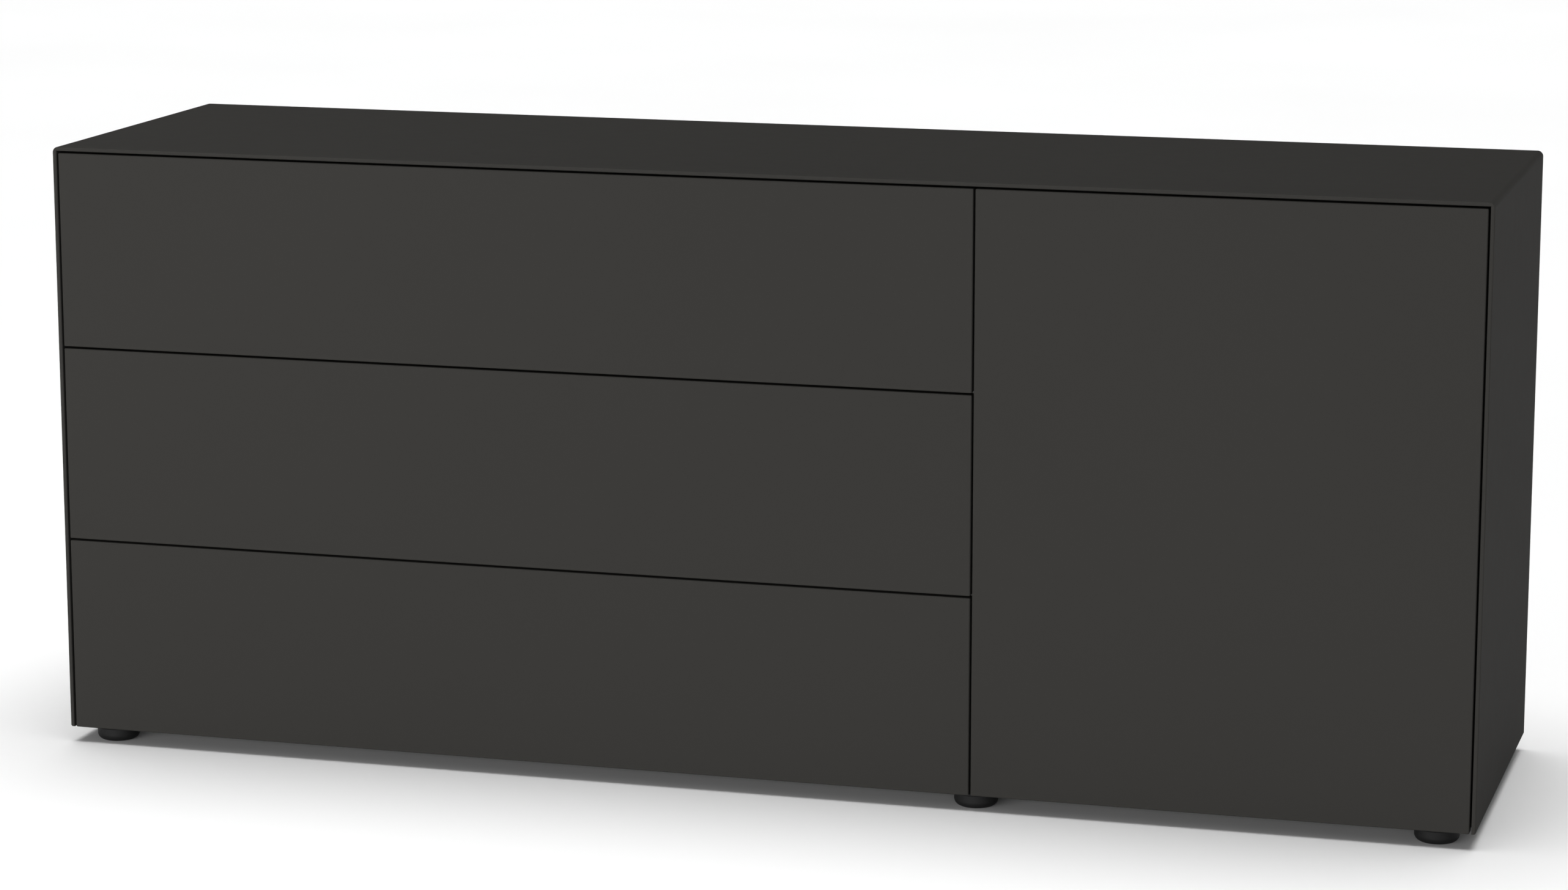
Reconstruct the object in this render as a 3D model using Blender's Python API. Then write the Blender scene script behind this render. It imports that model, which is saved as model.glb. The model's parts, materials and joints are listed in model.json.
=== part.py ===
"""Low sideboard: three wide push-to-open drawers beside one hinged door, in a thin-edged mitred case.

Metres. X runs left to right, Y front to back and Z up. The floor is Z = 0; the origin is under the centre.
"""

import math

import bmesh
import bpy
from mathutils import Vector

# Driving dimensions of the case
WIDTH = 1.800
DEPTH = 0.480
HEIGHT = 0.770
FOOT_HEIGHT = 0.020
PANEL = 0.018  # thickness of the case's boards
LIP = 0.005  # what is left of a board's thickness along the front
RECESS_DEPTH = 0.031  # how far back the thin lip runs: the door's hinge edge turns in here
SEAM = 0.0025  # visible gap round every front
DIVIDER_X = 0.288  # the seam between drawers and door
FRONT_THICKNESS = 0.016
CORNER_RADIUS = 0.007  # where the top turns down into the sides
EASE = 0.001  # small chamfer round the front of the case
TOUCH = 0.0003  # gap kept where two pieces meet
NEAR = 1e-6  # an edge this close to a plane lies in it
CUTTER_OUT = 0.010  # how far a cutter stands out of the face that it opens

# The places that follow from them
LEFT, RIGHT = -WIDTH / 2, WIDTH / 2
FRONT, BACK = -DEPTH / 2, DEPTH / 2
CASE_BOTTOM = FOOT_HEIGHT
INNER_LEFT, INNER_RIGHT = LEFT + PANEL, RIGHT - PANEL
INNER_BOTTOM, INNER_TOP = CASE_BOTTOM + PANEL, HEIGHT - PANEL
FRONT_BACK_FACE = FRONT + FRONT_THICKNESS
CARCASS_FRONT = FRONT_BACK_FACE + 0.0035  # leaves room for the push-in travel
SHOULDER = FRONT + RECESS_DEPTH
DIVIDER_LEFT, DIVIDER_RIGHT = DIVIDER_X - PANEL / 2, DIVIDER_X + PANEL / 2

HINGE_NOTCH = 0.021  # width of the relief in the bottom panel where the door's hinge edge turns in

BACK_PANEL = 0.008
BACK_PANEL_FACE = BACK - 0.018

FOOT_RADIUS = 0.027
FOOT_ROUNDING = 0.008
FOOT_INSET_X = 0.050
FOOT_INSET_Y = 0.037

# Drawers
DRAWERS = ("bottom_drawer", "middle_drawer", "top_drawer")
BOX_BOARD = 0.014
BOX_HEIGHT = 0.180
BOX_RISE = 0.032  # underside of the box above the lower edge of its front
BOX_DEPTH = 0.420
BOX_BASE_RISE = 0.012
BOX_BASE = 0.008
SLIDE_SPACE = 0.013  # between the box and the case on each side
SLIDE_LENGTH = 0.400
SLIDE_RISE = 0.060  # centre of the slide above the underside of the box
SLIDE_HALF_HEIGHT = 0.0225
SLIDE_STEEL = 0.0012
SLIDE_SETBACK = 0.002  # the fixed and middle members start this far behind the shoulder
SLIDE_HEEL = 0.0025  # the drawer's own member starts this far behind its front
CABINET_FLANGE = 0.0090  # from the case's wall to the fixed member's flange tips
MIDDLE_WEB, MIDDLE_FLANGE = 0.0034, 0.0105  # both from the case's wall
DRAWER_FLANGE = 0.0070  # from the drawer box to its member's flange tips
MIDDLE_STEP, DRAWER_STEP = 0.0026, 0.0062  # how far each member's flanges sit inside the fixed one's

# Door
DOOR_LEFT, DOOR_RIGHT = DIVIDER_X + SEAM / 2, RIGHT - LIP - SEAM
HINGE_X = RIGHT - 0.0272
HINGE_Y = FRONT + 0.0097
HINGE_INSET_Z = 0.100  # hinge centre from the door's end
CUP_X = HINGE_X - 0.0120
CUP_RADIUS = 0.0172
CUP_WALL = 0.001
CUP_DEPTH = 0.0106
CUP_RIM_RADIUS = 0.0205
CUP_RIM = 0.0009
CUP_FLOOR = 0.0008
HINGE_PIN_RADIUS = 0.0012
HINGE_PIN_LENGTH = 0.0180
EYE_INNER, EYE_OUTER = 0.0015, 0.0026
EYE_END_DEG = 500  # the eye is rolled until here, counted from the pin's right
EYE_LIP = (-0.00325, -0.00351)  # where the rolled end stands off the pin
ARM_HEIGHT = 0.012
ARM_LENGTH = 0.058
ARM_SHEET = 0.0030
ARM_STEP = 0.0015  # notch where the foot meets the side panel
ARM_TAPER = 0.012  # slope at the foot's far end
ARM_NECK = (-0.0125, -0.0092)  # left and right face of the crank's neck, from the pin
ARM_SHOULDER_Y = 0.0232  # the crank turns to the side here, from the pin

# Shelf and latch
SHELF_PANEL = 0.018
SHELF_FRONT = FRONT + 0.052
SHELF_SIDE_GAP = 0.001
SHELF_PIN_RADIUS = 0.0025
SHELF_PIN_OUT = 0.008
SHELF_PIN_DEEP = 0.009
SHELF_PIN_INSET = 0.050
LATCH_X = DIVIDER_RIGHT + 0.028
LATCH_RADIUS, LATCH_BORE = 0.0065, 0.0040
LATCH_FRONT, LATCH_BACK = FRONT + 0.024, FRONT + 0.090
LATCH_END = 0.003
PLUNGER_RADIUS = 0.0036
PLUNGER_LENGTH = 0.040
PLUNGER_TIP = FRONT_BACK_FACE + 0.0024

ROUND_SIDES = 24
SMALL_SIDES = 12
SHARP_DEG = 35  # sharper edges than this stay crisp on round pieces

# name: (colour, roughness, metallic)
FINISHES = {
    "lacquer": ((0.047, 0.045, 0.042), 0.55, 0.0),
    "inner_board": ((0.110, 0.104, 0.098), 0.60, 0.0),
    "drawer_board": ((0.175, 0.168, 0.160), 0.60, 0.0),
    "slide_steel": ((0.550, 0.560, 0.570), 0.35, 1.0),
    "hinge_steel": ((0.600, 0.600, 0.600), 0.30, 1.0),
    "foot_plastic": ((0.018, 0.018, 0.018), 0.60, 0.0),
    "latch_plastic": ((0.300, 0.300, 0.300), 0.50, 0.0),
}


def clear_scene():
    for obj in list(bpy.data.objects):
        bpy.data.objects.remove(obj, do_unlink=True)


def finish_material(name):
    """The Principled material of one finish, made on first use."""
    found = bpy.data.materials.get(name)
    if found:
        return found
    colour, roughness, metallic = FINISHES[name]
    mat = bpy.data.materials.new(name)
    mat.use_nodes = True
    shader = mat.node_tree.nodes["Principled BSDF"]
    shader.inputs["Base Color"].default_value = (*colour, 1.0)
    shader.inputs["Roughness"].default_value = roughness
    shader.inputs["Metallic"].default_value = metallic
    return mat


def joint_empty(name, at):
    """An empty on a joint's axis, which carries the pieces that move there."""
    empty = bpy.data.objects.new(name, None)
    empty.location = at
    bpy.context.collection.objects.link(empty)
    return empty


def add_object(name, bm, finish, parent=None, smooth=False):
    """Turns a bmesh in world coordinates into a named object, under its joint's empty if it moves."""
    origin = Vector(parent.location) if parent else Vector()
    bmesh.ops.translate(bm, vec=-origin, verts=bm.verts)
    bmesh.ops.recalc_face_normals(bm, faces=bm.faces)
    mesh = bpy.data.meshes.new(name)
    bm.to_mesh(mesh)
    bm.free()
    if smooth:
        mesh.shade_smooth()
        mesh.set_sharp_from_angle(angle=math.radians(SHARP_DEG))
    mesh.materials.append(finish_material(finish))
    obj = bpy.data.objects.new(name, mesh)
    obj.parent = parent
    bpy.context.collection.objects.link(obj)
    return obj


def add_cutter(name, bm):
    """A helper shape for Boolean modifiers: a wire that is not part of the object."""
    cutter = add_object(name, bm, "lacquer")
    cutter.data.materials.clear()
    cutter.display_type = "WIRE"
    cutter.hide_render = True
    return cutter


def cut_with(obj, cutter):
    """Takes the cutter's shape away from the object."""
    boolean = obj.modifiers.new(cutter.name, "BOOLEAN")
    boolean.operation = "DIFFERENCE"
    boolean.solver = "EXACT"
    boolean.object = cutter


def block(low, high):
    """A bmesh block between two opposite corners."""
    bm = bmesh.new()
    bmesh.ops.create_cube(bm, size=1.0)
    low, high = Vector(low), Vector(high)
    bmesh.ops.scale(bm, vec=high - low, verts=bm.verts)
    bmesh.ops.translate(bm, vec=(low + high) / 2, verts=bm.verts)
    return bm


def add_board(name, low, high, finish, parent=None, chamfer=0.0):
    """A rectangular board, its edges eased where a chamfer is given."""
    bm = block(low, high)
    if chamfer:
        bmesh.ops.bevel(bm, geom=bm.edges[:], offset=chamfer, segments=1, affect="EDGES")
    return add_object(name, bm, finish, parent)


def prism(outline, axis, start, end):
    """A closed bmesh: a flat outline of (a, b) points, carried along an axis from start to end."""
    place = {
        "X": lambda a, b, c: (c, a, b),
        "Y": lambda a, b, c: (a, c, b),
        "Z": lambda a, b, c: (a, b, c),
    }[axis]
    bm = bmesh.new()
    near = [bm.verts.new(place(a, b, start)) for a, b in outline]
    far = [bm.verts.new(place(a, b, end)) for a, b in outline]
    bm.faces.new(near)
    bm.faces.new(reversed(far))
    for i in range(len(outline)):
        j = (i + 1) % len(outline)
        bm.faces.new((near[i], near[j], far[j], far[i]))
    return bm


def turned(profile, centre, axis, sides):
    """A closed bmesh turned about an axis: (radius, along) points between two points on the axis."""
    place = {
        "X": lambda r, t, h: (h, r * math.cos(t), r * math.sin(t)),
        "Y": lambda r, t, h: (r * math.cos(t), h, r * math.sin(t)),
        "Z": lambda r, t, h: (r * math.cos(t), r * math.sin(t), h),
    }[axis]
    bm = bmesh.new()
    rings = []
    for radius, along in profile:
        if radius == 0:
            rings.append([bm.verts.new(place(0, 0, along))] * sides)
        else:
            turns = (2 * math.pi * i / sides for i in range(sides))
            rings.append([bm.verts.new(place(radius, t, along)) for t in turns])
    for upper, lower in zip(rings, rings[1:]):
        for i in range(sides):
            j = (i + 1) % sides
            corners = dict.fromkeys((upper[i], upper[j], lower[j], lower[i]))
            bm.faces.new(corners)
    bmesh.ops.translate(bm, vec=centre, verts=bm.verts)
    return bm


def rod(centre, axis, start, end, radius, sides):
    """A plain round bar between two places along its axis."""
    return turned(((0, start), (radius, start), (radius, end), (0, end)), centre, axis, sides)


def arc(centre, radius, start_deg, end_deg, steps):
    """Points round part of a circle, both ends included."""
    turns = (math.radians(start_deg + (end_deg - start_deg) * i / steps) for i in range(steps + 1))
    return [(centre[0] + radius * math.cos(t), centre[1] + radius * math.sin(t)) for t in turns]


def case_form():
    """The case's whole outside as one block, rounded where top and sides meet and eased round the front."""
    bm = block((LEFT, FRONT, CASE_BOTTOM), (RIGHT, BACK, HEIGHT))
    top = [e for e in bm.edges if all(v.co.z > HEIGHT - NEAR for v in e.verts)]
    top_ends = [e for e in top if abs(e.verts[0].co.x - e.verts[1].co.x) < NEAR]
    bmesh.ops.bevel(bm, geom=top_ends, offset=CORNER_RADIUS, segments=4, profile=0.5, affect="EDGES")
    round_front = [e for e in bm.edges if all(v.co.y < FRONT + NEAR for v in e.verts)]
    bmesh.ops.bevel(bm, geom=round_front, offset=EASE, segments=1, affect="EDGES")
    return bm


def sliced(bm, planes):
    """Cuts the bmesh at each plane, throws away the side that the normal points to, and closes it."""
    for point, normal in planes:
        everything = bm.verts[:] + bm.edges[:] + bm.faces[:]
        bmesh.ops.bisect_plane(bm, geom=everything, plane_co=point, plane_no=normal, clear_outer=True)
        bmesh.ops.holes_fill(bm, edges=[e for e in bm.edges if e.is_boundary], sides=0)
    return bm


def mitre(side, outward):
    """The 45 degree plane through a top corner, half a gap back; outward is 1 for the top panel."""
    corner = Vector((side * WIDTH / 2, 0, HEIGHT))
    normal = Vector((side, 0, -1)).normalized() * outward
    return corner - normal * TOUCH / 2, normal


def make_case_shell():
    """Top and side panels: the rounded form cut into three at the mitres, thinned along the front."""
    recess = add_cutter(
        "front_recess",
        block((LEFT + LIP, FRONT - CUTTER_OUT, 0), (RIGHT - LIP, SHOULDER, HEIGHT - LIP)),
    )
    top_planes = [((0, 0, INNER_TOP), (0, 0, -1)), mitre(-1, 1), mitre(1, 1)]
    left_planes = [((INNER_LEFT, 0, 0), (1, 0, 0)), mitre(-1, -1)]
    right_planes = [((INNER_RIGHT, 0, 0), (-1, 0, 0)), mitre(1, -1)]
    panels = {"top_panel": top_planes, "left_side_panel": left_planes, "right_side_panel": right_planes}
    for name, planes in panels.items():
        cut_with(add_object(name, sliced(case_form(), planes), "lacquer"), recess)


def make_carcass():
    """Bottom, divider and back, fitted inside the shell."""
    bottom_low = (INNER_LEFT + TOUCH, CARCASS_FRONT, CASE_BOTTOM)
    bottom_high = (INNER_RIGHT - TOUCH, BACK, INNER_BOTTOM)
    bottom = add_board("bottom_panel", bottom_low, bottom_high, "inner_board", chamfer=EASE / 2)
    notch_low = (INNER_RIGHT - HINGE_NOTCH, FRONT, 0)
    notch_high = (RIGHT, SHOULDER, INNER_TOP)
    cut_with(bottom, add_cutter("hinge_notch", block(notch_low, notch_high)))
    divider_low = (DIVIDER_LEFT, CARCASS_FRONT, INNER_BOTTOM + TOUCH)
    divider_high = (DIVIDER_RIGHT, BACK_PANEL_FACE - TOUCH, INNER_TOP - TOUCH)
    add_board("centre_partition", divider_low, divider_high, "inner_board", chamfer=EASE / 2)
    back_low = (INNER_LEFT + TOUCH, BACK_PANEL_FACE, INNER_BOTTOM + TOUCH)
    back_high = (INNER_RIGHT - TOUCH, BACK_PANEL_FACE + BACK_PANEL, INNER_TOP - TOUCH)
    add_board("back_panel", back_low, back_high, "inner_board")


def make_feet():
    """Six low round feet: under both ends and under the divider, front and rear."""
    inner = FOOT_RADIUS - FOOT_ROUNDING
    rounding = arc((inner, FOOT_ROUNDING), FOOT_ROUNDING, 0, -90, 4)
    profile = [(0, FOOT_HEIGHT - TOUCH), (FOOT_RADIUS, FOOT_HEIGHT - TOUCH), *rounding, (0, 0)]
    columns = {"left": LEFT + FOOT_INSET_X, "middle": DIVIDER_X, "right": RIGHT - FOOT_INSET_X}
    rows = {"front": FRONT + FOOT_INSET_Y, "rear": BACK - FOOT_INSET_Y}
    for row, y in rows.items():
        for column, x in columns.items():
            foot = turned(profile, (x, y, 0), "Z", ROUND_SIDES)
            add_object(f"foot_{row}_{column}", foot, "foot_plastic", smooth=True)


def channel(web_x, tip_x, half_height):
    """Outline of a C-shaped steel section in X and Z: its web at one side, its flanges towards the tip."""
    inward = math.copysign(SLIDE_STEEL, tip_x - web_x)
    outer, inner = half_height, half_height - SLIDE_STEEL
    return [
        (web_x, -outer), (tip_x, -outer), (tip_x, -inner), (web_x + inward, -inner),
        (web_x + inward, inner), (tip_x, inner), (tip_x, outer), (web_x, outer),
    ]


def slide_members(wall_x, box_x, centre_z):
    """The three nested outlines of one telescopic slide, from the case's wall to the drawer box."""
    way = math.copysign(1.0, box_x - wall_x)
    middle_height, drawer_height = SLIDE_HALF_HEIGHT - MIDDLE_STEP, SLIDE_HALF_HEIGHT - DRAWER_STEP
    sections = {
        "cabinet": channel(wall_x + way * TOUCH, wall_x + way * CABINET_FLANGE, SLIDE_HALF_HEIGHT),
        "intermediate": channel(wall_x + way * MIDDLE_WEB, wall_x + way * MIDDLE_FLANGE, middle_height),
        "drawer": channel(box_x - way * TOUCH, box_x - way * DRAWER_FLANGE, drawer_height),
    }
    return {kind: [(x, centre_z + z) for x, z in outline] for kind, outline in sections.items()}


def make_slides(drawer, box_left, box_right, box_bottom, drawer_empty, middle_empty):
    """Both slides of a drawer; the cabinet members stay with the case."""
    centre_z = box_bottom + SLIDE_RISE
    walls = {"left": (INNER_LEFT, box_left), "right": (DIVIDER_LEFT, box_right)}
    carriers = {"cabinet": None, "intermediate": middle_empty, "drawer": drawer_empty}
    for side, (wall_x, box_x) in walls.items():
        for kind, outline in slide_members(wall_x, box_x, centre_z).items():
            start = FRONT_BACK_FACE + SLIDE_HEEL if kind == "drawer" else SHOULDER + SLIDE_SETBACK
            section = prism(outline, "Y", start, start + SLIDE_LENGTH)
            name = f"{drawer}_{side}_{kind}_slide"
            add_object(name, section, "slide_steel", carriers[kind])


def make_drawer(drawer, front_low_z, front_high_z):
    """One drawer: its front, four boards of its box, and its slides."""
    front_left, front_right = LEFT + LIP + SEAM, DIVIDER_X - SEAM / 2
    centre = ((front_left + front_right) / 2, FRONT, (front_low_z + front_high_z) / 2)
    drawer_empty = joint_empty(f"{drawer}_travel", centre)
    middle_empty = joint_empty(f"{drawer}_slide_travel", centre)
    front_low = (front_left, FRONT, front_low_z)
    front_high = (front_right, FRONT_BACK_FACE, front_high_z)
    add_board(f"{drawer}_front", front_low, front_high, "lacquer", drawer_empty, chamfer=EASE)

    box_left, box_right = INNER_LEFT + SLIDE_SPACE, DIVIDER_LEFT - SLIDE_SPACE
    box_bottom, box_front = front_low_z + BOX_RISE, FRONT_BACK_FACE + TOUCH
    box_top, box_back = box_bottom + BOX_HEIGHT, box_front + BOX_DEPTH
    inside_left, inside_right = box_left + BOX_BOARD + TOUCH, box_right - BOX_BOARD - TOUCH
    base_low, base_high = box_bottom + BOX_BASE_RISE, box_bottom + BOX_BASE_RISE + BOX_BASE
    boards = {
        "left_side": ((box_left, box_front, box_bottom), (box_left + BOX_BOARD, box_back, box_top)),
        "right_side": ((box_right - BOX_BOARD, box_front, box_bottom), (box_right, box_back, box_top)),
        "base": ((inside_left, box_front, base_low), (inside_right, box_back, base_high)),
        "back": ((inside_left, box_back - BOX_BOARD, base_high + TOUCH), (inside_right, box_back, box_top)),
    }
    for part, (low, high) in boards.items():
        add_board(f"{drawer}_{part}", low, high, "drawer_board", drawer_empty, chamfer=EASE / 2)
    make_slides(drawer, box_left, box_right, box_bottom, drawer_empty, middle_empty)


def make_drawers():
    """Three equal fronts, stacked from the bottom of the case to the seam under the top's lip."""
    room = HEIGHT - LIP - SEAM - CASE_BOTTOM
    front_height = (room - SEAM * (len(DRAWERS) - 1)) / len(DRAWERS)
    for i, drawer in enumerate(DRAWERS):
        low = CASE_BOTTOM + i * (front_height + SEAM)
        make_drawer(drawer, low, low + front_height)


def hinge_heights():
    """The lower and upper hinge's centre."""
    door_top = HEIGHT - LIP - SEAM
    return {"lower": CASE_BOTTOM + HINGE_INSET_Z, "upper": door_top - HINGE_INSET_Z}


def make_hinge_cup(name, centre_z, parent):
    """A round steel cup let into the door's back face, with a flat rim; its mouth faces the case."""
    floor = FRONT_BACK_FACE - CUP_DEPTH
    rim = FRONT_BACK_FACE + TOUCH
    bore, bore_end, mouth = CUP_RADIUS - CUP_WALL, floor + CUP_FLOOR, rim + CUP_RIM
    profile = (
        (0, floor), (CUP_RADIUS, floor), (CUP_RADIUS, rim), (CUP_RIM_RADIUS, rim),
        (CUP_RIM_RADIUS, mouth), (bore, mouth), (bore, bore_end), (0, bore_end),
    )
    cup = turned(profile, (CUP_X, 0, centre_z), "Y", ROUND_SIDES)
    add_object(name, cup, "hinge_steel", parent, smooth=True)


def arm_outline():
    """The crank's outline from above: a rolled eye round the pin, a neck, and a foot on the side panel."""
    left, right = ARM_NECK
    half_bar = (right - left) / 2
    wall = INNER_RIGHT - TOUCH - HINGE_X
    foot_face, foot_ridge = wall - ARM_SHEET, wall - ARM_SHEET * 3
    shoulder, far_end = ARM_SHOULDER_Y, ARM_SHOULDER_Y + ARM_LENGTH
    lean = math.degrees(math.asin(half_bar / EYE_OUTER))
    rolled = arc((0, 0), EYE_OUTER, 180 + lean, EYE_END_DEG, 12)
    inside = arc((0, 0), EYE_INNER, EYE_END_DEG, 180, 12)
    crank = [
        (EYE_LIP[0], 0.0), (EYE_LIP[1], half_bar), (right, half_bar), (right, shoulder),
        (foot_face, shoulder), (foot_face, shoulder - ARM_STEP), (wall, shoulder - ARM_STEP),
        (wall, far_end), (foot_face, far_end),
        (foot_ridge, far_end - ARM_TAPER), (foot_ridge, shoulder + ARM_SHEET),
        (left, shoulder + ARM_SHEET), (left, -half_bar),
    ]
    outline = [*rolled, *inside, *crank]
    return [(HINGE_X + x, HINGE_Y + y) for x, y in outline]


def make_hinges(door_empty):
    """Two single-pivot concealed hinges: cup and pin move with the door, the cranked arm stays."""
    for place, z in hinge_heights().items():
        make_hinge_cup(f"{place}_hinge_cup", z, door_empty)
        half_pin = HINGE_PIN_LENGTH / 2
        pin = rod((HINGE_X, HINGE_Y, z), "Z", -half_pin, half_pin, HINGE_PIN_RADIUS, SMALL_SIDES)
        add_object(f"{place}_hinge_pin", pin, "hinge_steel", door_empty, smooth=True)
        arm = prism(arm_outline(), "Z", z - ARM_HEIGHT / 2, z + ARM_HEIGHT / 2)
        add_object(f"{place}_hinge_arm", arm, "hinge_steel", smooth=True)


def make_door():
    """The door, bored for its hinge cups, on the empty that marks its axis."""
    door_empty = joint_empty("door_axis", (HINGE_X, HINGE_Y, HEIGHT / 2))
    low = (DOOR_LEFT, FRONT, CASE_BOTTOM)
    high = (DOOR_RIGHT, FRONT_BACK_FACE, HEIGHT - LIP - SEAM)
    door = add_board("door_panel", low, high, "lacquer", door_empty, chamfer=EASE)
    for place, z in hinge_heights().items():
        bore_start, bore_end = FRONT_BACK_FACE - CUP_DEPTH - TOUCH, FRONT_BACK_FACE + CUTTER_OUT
        bore = rod((CUP_X, 0, z), "Y", bore_start, bore_end, CUP_RADIUS + TOUCH, ROUND_SIDES)
        cut_with(door, add_cutter(f"{place}_cup_bore", bore))
    make_hinges(door_empty)


def make_shelf():
    """A loose shelf behind the door, on four pins in bored holes."""
    low_z = (INNER_BOTTOM + INNER_TOP - SHELF_PANEL) / 2
    low = (DIVIDER_RIGHT + SHELF_SIDE_GAP, SHELF_FRONT, low_z)
    high = (INNER_RIGHT - SHELF_SIDE_GAP, BACK_PANEL_FACE - SHELF_SIDE_GAP, low_z + SHELF_PANEL)
    add_board("shelf", low, high, "inner_board", chamfer=EASE / 2)
    pin_z = low_z - TOUCH - SHELF_PIN_RADIUS
    walls = {
        "left": (DIVIDER_RIGHT, 1, bpy.data.objects["centre_partition"]),
        "right": (INNER_RIGHT, -1, bpy.data.objects["right_side_panel"]),
    }
    rows = {"front": SHELF_FRONT + SHELF_PIN_INSET, "rear": BACK_PANEL_FACE - SHELF_PIN_INSET}
    for side, (wall_x, way, board) in walls.items():
        for row, y in rows.items():
            centre = (wall_x, y, pin_z)
            hole_radius = SHELF_PIN_RADIUS + TOUCH
            hole = rod(centre, "X", -way * SHELF_PIN_DEEP, way * CUTTER_OUT, hole_radius, SMALL_SIDES)
            cut_with(board, add_cutter(f"shelf_pin_hole_{row}_{side}", hole))
            pin_start = -way * (SHELF_PIN_DEEP - TOUCH)
            pin = rod(centre, "X", pin_start, way * SHELF_PIN_OUT, SHELF_PIN_RADIUS, SMALL_SIDES)
            add_object(f"shelf_pin_{row}_{side}", pin, "slide_steel", smooth=True)


def make_push_latch():
    """The door's push latch under the top panel: a tube fixed to the case and a sprung plunger."""
    centre = (LATCH_X, 0, INNER_TOP - TOUCH - LATCH_RADIUS)
    bore_end = LATCH_BACK - LATCH_END
    tube_profile = (
        (0, LATCH_BACK), (LATCH_RADIUS, LATCH_BACK), (LATCH_RADIUS, LATCH_FRONT),
        (LATCH_BORE, LATCH_FRONT), (LATCH_BORE, bore_end), (0, bore_end),
    )
    tube = turned(tube_profile, centre, "Y", ROUND_SIDES)
    add_object("push_latch_housing", tube, "latch_plastic", smooth=True)
    plunger_empty = joint_empty("push_latch_travel", (LATCH_X, PLUNGER_TIP, centre[2]))
    nose = 0.001
    plunger_profile = (
        (0, PLUNGER_TIP), (PLUNGER_RADIUS - nose, PLUNGER_TIP), (PLUNGER_RADIUS, PLUNGER_TIP + nose),
        (PLUNGER_RADIUS, PLUNGER_TIP + PLUNGER_LENGTH), (0, PLUNGER_TIP + PLUNGER_LENGTH),
    )
    plunger = turned(plunger_profile, centre, "Y", ROUND_SIDES)
    add_object("push_latch_plunger", plunger, "foot_plastic", plunger_empty, smooth=True)


def main():
    clear_scene()
    make_case_shell()
    make_carcass()
    make_feet()
    make_drawers()
    make_door()
    make_shelf()
    make_push_latch()


main()
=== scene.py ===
"""Matte anthracite sideboard: rounded boards, moulded feet and fittings round the CAD frame."""

import json
import math

import bmesh
import bpy
from mathutils import Matrix, Vector


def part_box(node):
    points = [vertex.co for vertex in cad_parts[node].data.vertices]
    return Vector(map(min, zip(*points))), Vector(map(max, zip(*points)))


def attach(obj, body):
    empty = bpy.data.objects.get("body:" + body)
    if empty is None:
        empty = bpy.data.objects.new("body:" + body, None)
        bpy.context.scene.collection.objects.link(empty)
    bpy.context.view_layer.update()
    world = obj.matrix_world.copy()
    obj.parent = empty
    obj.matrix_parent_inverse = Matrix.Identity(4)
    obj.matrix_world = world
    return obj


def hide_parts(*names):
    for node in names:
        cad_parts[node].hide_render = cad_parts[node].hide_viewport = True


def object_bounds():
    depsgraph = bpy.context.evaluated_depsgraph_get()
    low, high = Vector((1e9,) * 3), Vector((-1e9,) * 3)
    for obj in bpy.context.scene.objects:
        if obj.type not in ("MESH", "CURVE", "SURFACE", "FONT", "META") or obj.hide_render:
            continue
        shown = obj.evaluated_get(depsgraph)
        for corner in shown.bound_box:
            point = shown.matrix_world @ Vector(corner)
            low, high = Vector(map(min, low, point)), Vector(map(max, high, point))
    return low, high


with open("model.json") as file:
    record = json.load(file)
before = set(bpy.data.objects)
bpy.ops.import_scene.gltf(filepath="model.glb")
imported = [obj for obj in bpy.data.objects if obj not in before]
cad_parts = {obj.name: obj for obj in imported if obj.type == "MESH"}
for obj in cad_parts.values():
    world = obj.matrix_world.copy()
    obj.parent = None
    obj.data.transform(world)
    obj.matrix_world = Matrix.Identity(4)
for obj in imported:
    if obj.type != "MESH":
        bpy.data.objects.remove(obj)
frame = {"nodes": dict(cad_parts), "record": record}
cad_low, cad_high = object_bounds()

CASE, DOOR = "case", "door"
DRAWERS = ("bottom_drawer", "middle_drawer", "top_drawer")
INWARD = (("left", 1), ("right", -1))  # each side, and its way along X towards the middle
PAIR = (-1, 1)  # the two of a pair: left and right, or lower and upper
X, Y, Z = 0, 1, 2

# ---------------------------------------------------------------- boards, in metres
LIP = 0.005  # visible thickness of the case along the front
RECESS_DEPTH = 0.031  # how far back the thin lip runs
CORNER_RADIUS = 0.007  # where the top turns down into the sides
LOWER_RADIUS = 0.0024  # lower outer edges of the sides
FRONT_RADIUS = 0.0016  # front edges of the case, and all round the drawer fronts and the door
REAR_RADIUS = 0.0009
BOARD_RADIUS = 0.0009  # inner boards
BASE_RADIUS = 0.0004  # thin boards
MITRE_GAP = 0.00006
HINGE_NOTCH = 0.021  # width of the bottom's notch at the door's hinge edge
CUP_BORE = 0.0175  # radius of the holes for the hinge cups
HOLE_RADIUS, HOLE_DEPTH, HOLE_PITCH = 0.0027, 0.0095, 0.032  # shelf holes
HOLES_EACH_WAY = 3  # shelf holes above and below the one in use
NEAR = 1e-5  # coordinates closer than this are taken as equal
OVERCUT = 0.01  # how far a cutter stands out past the face that it opens
SHARP = math.radians(40.0)  # edges that turn more than this are shaded as sharp

# ---------------------------------------------------------------- fittings, in metres
FITTING_BEVEL = 0.0003
CLEAR = 0.0003  # between fittings and what they stand on
SMALL_ROUND, CUP_ROUND, FOOT_ROUND = 20, 64, 72  # sides of turned forms

# Screw heads: radius and height.
PLAIN_HEAD = (0.0035, 0.0016)
WEDGE_HEAD = (0.0030, 0.0012)
BOX_HEAD = (0.0030, 0.0008)
CAM_HEAD = (0.0072, 0.0006)
CASE_SLIDE_HEAD = (0.0035, 0.0013)
CUP_HEAD = (0.0030, 0.0011)
ARM_HEAD = (0.0042, 0.0018)
LATCH_HEAD = (0.0030, 0.0013)

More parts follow.
